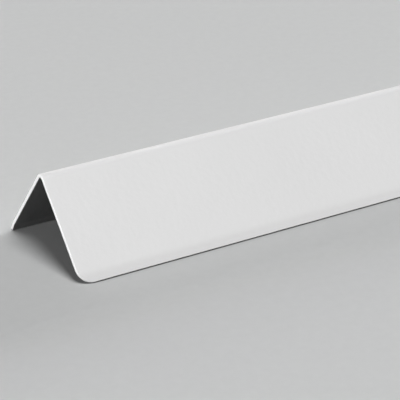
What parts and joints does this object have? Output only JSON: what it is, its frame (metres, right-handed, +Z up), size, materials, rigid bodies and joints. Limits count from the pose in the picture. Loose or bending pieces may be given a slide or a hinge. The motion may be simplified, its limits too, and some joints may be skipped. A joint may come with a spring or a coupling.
{
  "type": "corner guard moulding",
  "caption": "Long straight angle strip of white painted aluminium with turned-in edges and rounded corners on its front leg, which covers and protects the outside corner of a wall.",
  "frame": {"origin": "on the floor under the middle of the nose, halfway along the guard", "axes": "+X along the guard, +Y from the front leg to the back leg, +Z up from the free edges to the nose"},
  "size_m": [1, 0.0388, 0.0223],
  "materials": {
    "white_powder_coat": "satin"
  },
  "bodies": {
    "root": {"corner_guard": "white_powder_coat"}
  },
  "joints": []
}
